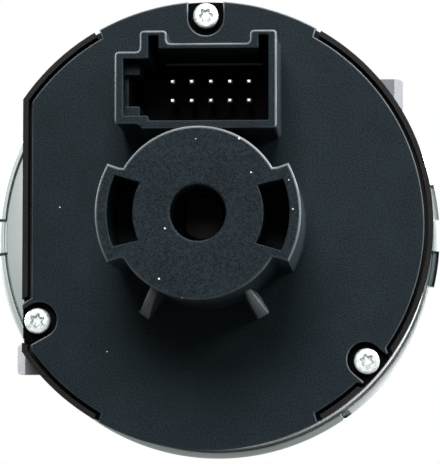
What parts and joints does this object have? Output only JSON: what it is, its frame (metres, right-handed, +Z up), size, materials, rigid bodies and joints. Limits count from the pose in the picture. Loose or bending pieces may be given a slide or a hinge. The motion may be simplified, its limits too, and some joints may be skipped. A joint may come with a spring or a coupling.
{
  "type": "rotary headlight switch",
  "caption": "Round dash-mounted rotary headlight switch: plated bezel, turn, pull and push knob, locking bolts, keyed connector socket and hub on the rear cover.",
  "frame": {"origin": "on the switch's axis, in the plane where the bezel's rear face sits on the dashboard", "axes": "+Y along the axis from the driver to the rear, +Z up, +X to the driver's right"},
  "size_m": [0.0644, 0.0682, 0.0644],
  "materials": {
    "black_plastic": "moulded glass-filled plastic, fine spark-eroded grain, satin",
    "barrel_plastic": "moulded plastic, satin",
    "plated_bezel": "bright plated plastic",
    "zinc_screw": "zinc-plated steel",
    "grey_plastic": "smooth light grey slide plastic",
    "tinned_pin": "tinned brass pin, bright",
    "contact_brass": "spring brass strip",
    "spring_steel": "spring steel wire and strip",
    "board_green": "solder mask over glass epoxy board",
    "chip_black": "moulded chip package",
    "lamp_white": "lamp package with yellow phosphor",
    "white_plastic": "white moulded slide plastic",
    "clear_plastic": "clear moulded light guide",
    "fascia_black": "fine grained soft-painted front",
    "green_lens": "green tell-tale window",
    "amber_lens": "amber tell-tale window",
    "knob_black": "soft-painted knob",
    "pointer_white": "white inlaid pointer"
  },
  "bodies": {
    "switch_body": {"rear_cover": "black_plastic", "housing": "barrel_plastic", "cover_screws": "zinc_screw", "circuit_board": "board_green", "lamps": "lamp_white", "board_chips": "chip_black", "connector_base": "chip_black", "connector_pins": "tinned_pin", "bolt_spring_upper": "spring_steel", "bolt_spring_lower": "spring_steel", "detent_spring": "spring_steel", "fog_contacts": "contact_brass", "pull_detent": "spring_steel", "bezel_ring": "plated_bezel", "fascia": "fascia_black", "light_guide": "clear_plastic", "fog_lens_front": "green_lens", "fog_lens_rear": "amber_lens"},
    "rotor": {"rotor": "white_plastic", "rotor_wipers": "contact_brass"},
    "pull_sleeve": {"pull_sleeve": "black_plastic"},
    "knob": {"knob_cap": "knob_black", "knob_pointer": "pointer_white", "knob_ring": "plated_bezel", "knob_shaft": "barrel_plastic", "retaining_clip": "spring_steel", "push_spring": "spring_steel"},
    "fog_carriage": {"fog_carriage": "white_plastic", "carriage_brush": "contact_brass"},
    "release_cam": {"release_cam": "white_plastic"},
    "lock_bolt_upper": {"lock_bolt_upper": "grey_plastic"},
    "lock_bolt_lower": {"lock_bolt_lower": "grey_plastic"}
  },
  "joints": [
    {"name": "knob_turn", "type": "hinge", "parent": "switch_body", "child": "rotor", "pos_m": [0, 0, 0], "axis": [0, 1, 0], "range_deg": [-22.5, 45], "deforming": ["detent_spring"]},
    {"name": "knob_pull", "type": "slide", "parent": "rotor", "child": "pull_sleeve", "axis": [0, -1, 0], "range_m": [0, 0.008], "deforming": ["pull_detent"]},
    {"name": "knob_push", "type": "slide", "parent": "pull_sleeve", "child": "knob", "axis": [0, 1, 0], "range_m": [0, 0.003], "stiffness_N_per_m": 1500, "springref_m": -0.002, "deforming": ["push_spring"]},
    {"name": "carriage_slide", "type": "slide", "parent": "switch_body", "child": "fog_carriage", "axis": [0, -1, 0], "range_m": [0, 0.008]},
    {"name": "cam_turn", "type": "hinge", "parent": "switch_body", "child": "release_cam", "pos_m": [0, 0, 0], "axis": [0, 1, 0], "range_deg": [0, 35], "stiffness_Nm_per_rad": 0.0193, "springref_deg": -22.92},
    {"name": "bolt_upper_slide", "type": "slide", "parent": "switch_body", "child": "lock_bolt_upper", "axis": [1, 0, 0], "range_m": [0, 0.003], "deforming": ["bolt_spring_upper"]},
    {"name": "bolt_lower_slide", "type": "slide", "parent": "switch_body", "child": "lock_bolt_lower", "axis": [-1, 0, 0], "range_m": [0, 0.003], "deforming": ["bolt_spring_lower"]}
  ],
  "couplings": [
    {"joint": "carriage_slide", "follows": "knob_pull", "ratio": 1},
    {"joint": "bolt_upper_slide", "follows": "cam_turn", "m_per_rad": 0.00491},
    {"joint": "bolt_lower_slide", "follows": "cam_turn", "m_per_rad": 0.00491}
  ]
}
